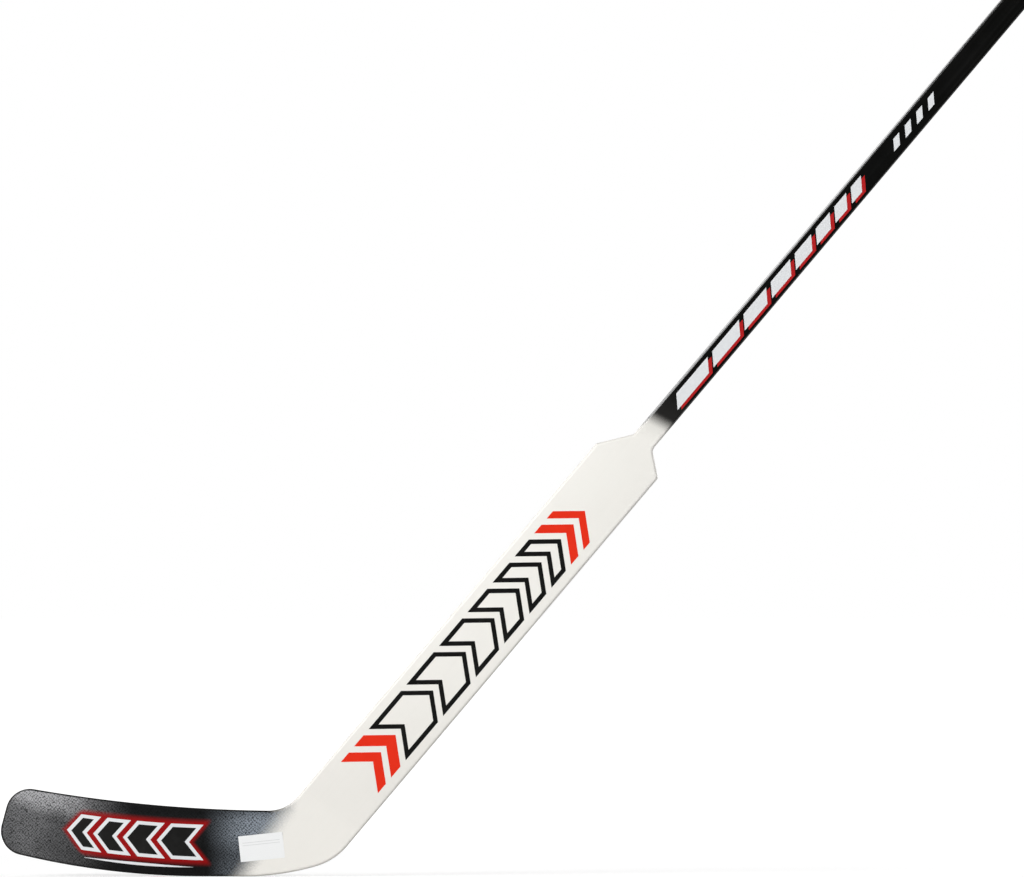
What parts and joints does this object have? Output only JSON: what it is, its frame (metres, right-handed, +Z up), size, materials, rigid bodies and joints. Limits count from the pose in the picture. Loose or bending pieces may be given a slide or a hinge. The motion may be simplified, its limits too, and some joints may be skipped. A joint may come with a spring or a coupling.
{
  "type": "hockey goalie stick",
  "caption": "Foam-core hockey goalie stick with a wide paddle, a long curved blade and a laminated rectangular shaft, painted black and white.",
  "frame": {"origin": "middle of the flat stretch of the sole, where the stick rests on the ice", "axes": "+Z up, +X from the toe towards the heel and the butt, +Y out of the back face, which the blade bends towards"},
  "size_m": [1.3426, 0.042, 1.181],
  "materials": {
    "shaft_wood": "satin black paint over laminated wood, bare wood at the cut butt",
    "shaft_glass": "satin black paint over fibreglass",
    "paddle_wood": "gloss off-white paint over hardwood",
    "paddle_glass": "gloss off-white paint over fibreglass",
    "foam": "rigid polyurethane foam",
    "heel_wood": "gloss off-white paint over hardwood",
    "blade_wood": "satin black paint over hardwood, fading to white at the heel",
    "blade_glass": "satin black over woven fibreglass, fading to white at the heel"
  },
  "bodies": {
    "root": {"shaft_core": "shaft_wood", "shaft_front_lamination": "shaft_wood", "shaft_back_lamination": "shaft_wood", "shaft_front_glass_ply": "shaft_glass", "shaft_back_glass_ply": "shaft_glass", "paddle_inner_edge_strip": "paddle_wood", "paddle_outer_edge_strip": "paddle_wood", "paddle_inner_shoulder_block": "paddle_wood", "paddle_outer_shoulder_block": "paddle_wood", "paddle_front_skin": "paddle_glass", "paddle_back_skin": "paddle_glass", "paddle_inner_foam": "foam", "paddle_outer_foam": "foam", "blade_foam_core": "foam", "heel_block": "heel_wood", "blade_top_strip": "blade_wood", "blade_sole_strip": "blade_wood", "blade_front_skin": "blade_glass", "blade_back_skin": "blade_glass"}
  },
  "joints": []
}
